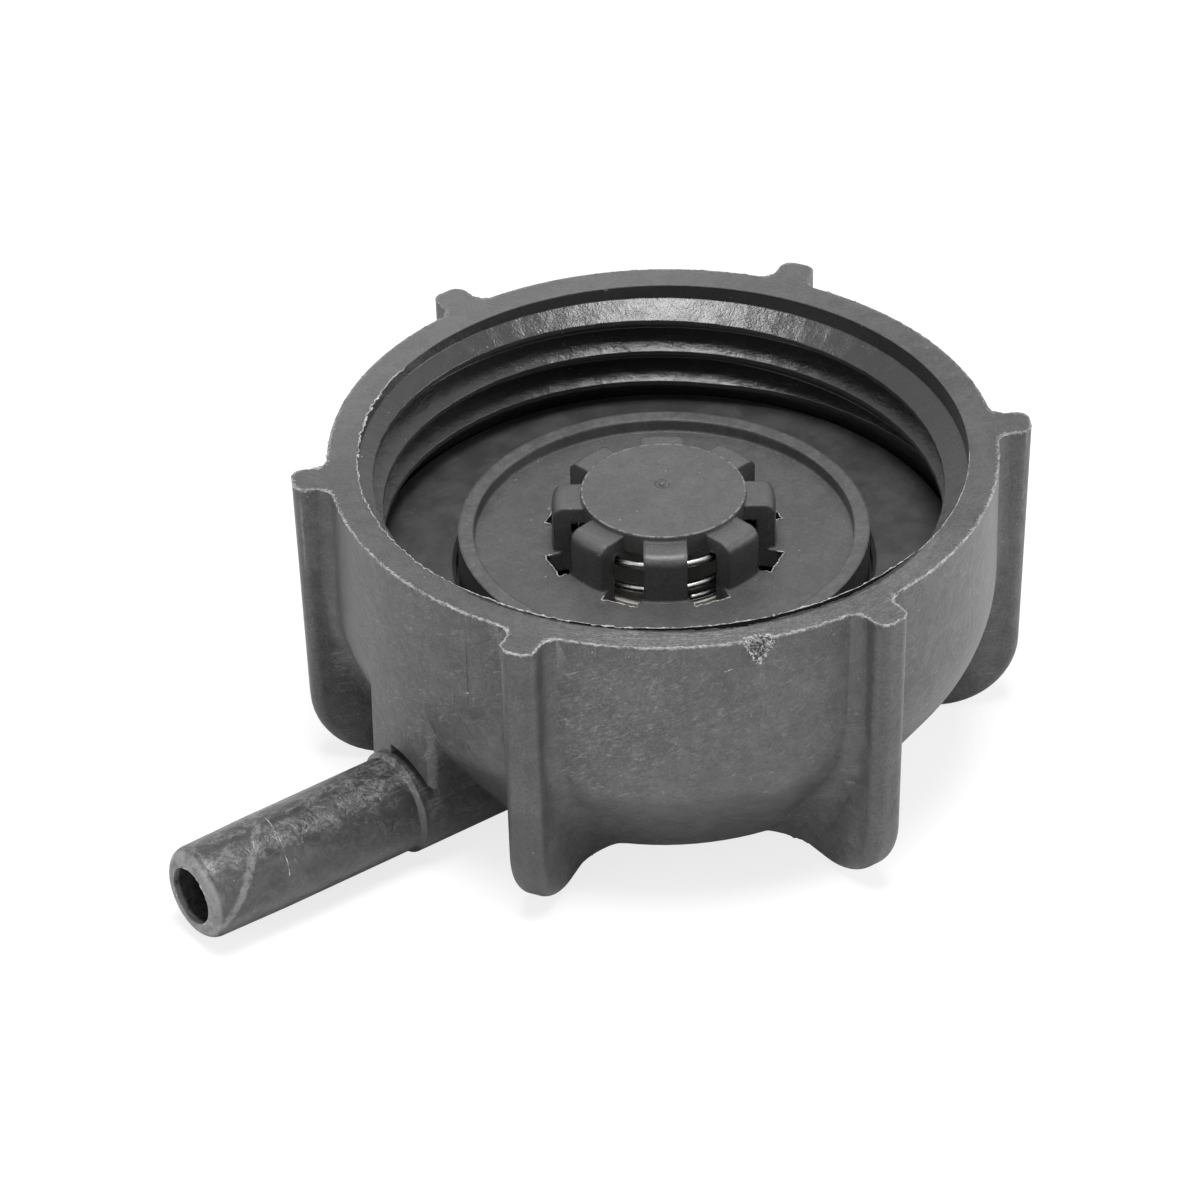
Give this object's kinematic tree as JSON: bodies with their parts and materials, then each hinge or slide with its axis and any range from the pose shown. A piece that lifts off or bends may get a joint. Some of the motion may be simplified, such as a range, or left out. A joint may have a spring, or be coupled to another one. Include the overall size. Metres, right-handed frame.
{
  "type": "expansion tank cap",
  "caption": "Screw cap for a coolant expansion tank with grip fins, an inside thread, a pressure and vacuum valve and a side hose nipple.",
  "frame": {"origin": "centre of the flat closed end, which the cap stands on", "axes": "+Z along the cap's axis out of its mouth, -X along the hose nipple"},
  "size_m": [0.0933, 0.0752, 0.0341],
  "materials": {
    "cap_plastic": "worn moulded",
    "carrier_plastic": "moulded",
    "seal_rubber": "matt",
    "valve_plastic": "moulded",
    "spring_steel": "drawn wire"
  },
  "bodies": {
    "cap": {"cap_body": "cap_plastic", "valve_carrier": "carrier_plastic", "neck_seal": "seal_rubber", "carrier_o_ring": "seal_rubber", "spring_retainer": "valve_plastic", "pressure_spring": "spring_steel", "vacuum_spring": "spring_steel"},
    "pressure_valve": {"pressure_valve": "valve_plastic", "pressure_seal": "seal_rubber"},
    "vacuum_valve": {"vacuum_valve": "valve_plastic", "vacuum_seal": "seal_rubber"}
  },
  "joints": [
    {"name": "pressure_slide", "type": "slide", "parent": "cap", "child": "pressure_valve", "axis": [0, 0, -1], "range_m": [0, 0.002], "stiffness_N_per_m": 1800, "deforming": ["pressure_spring"]},
    {"name": "vacuum_slide", "type": "slide", "parent": "pressure_valve", "child": "vacuum_valve", "axis": [0, 0, 1], "range_m": [0, 0.0016], "stiffness_N_per_m": 60, "deforming": ["vacuum_spring"]}
  ]
}
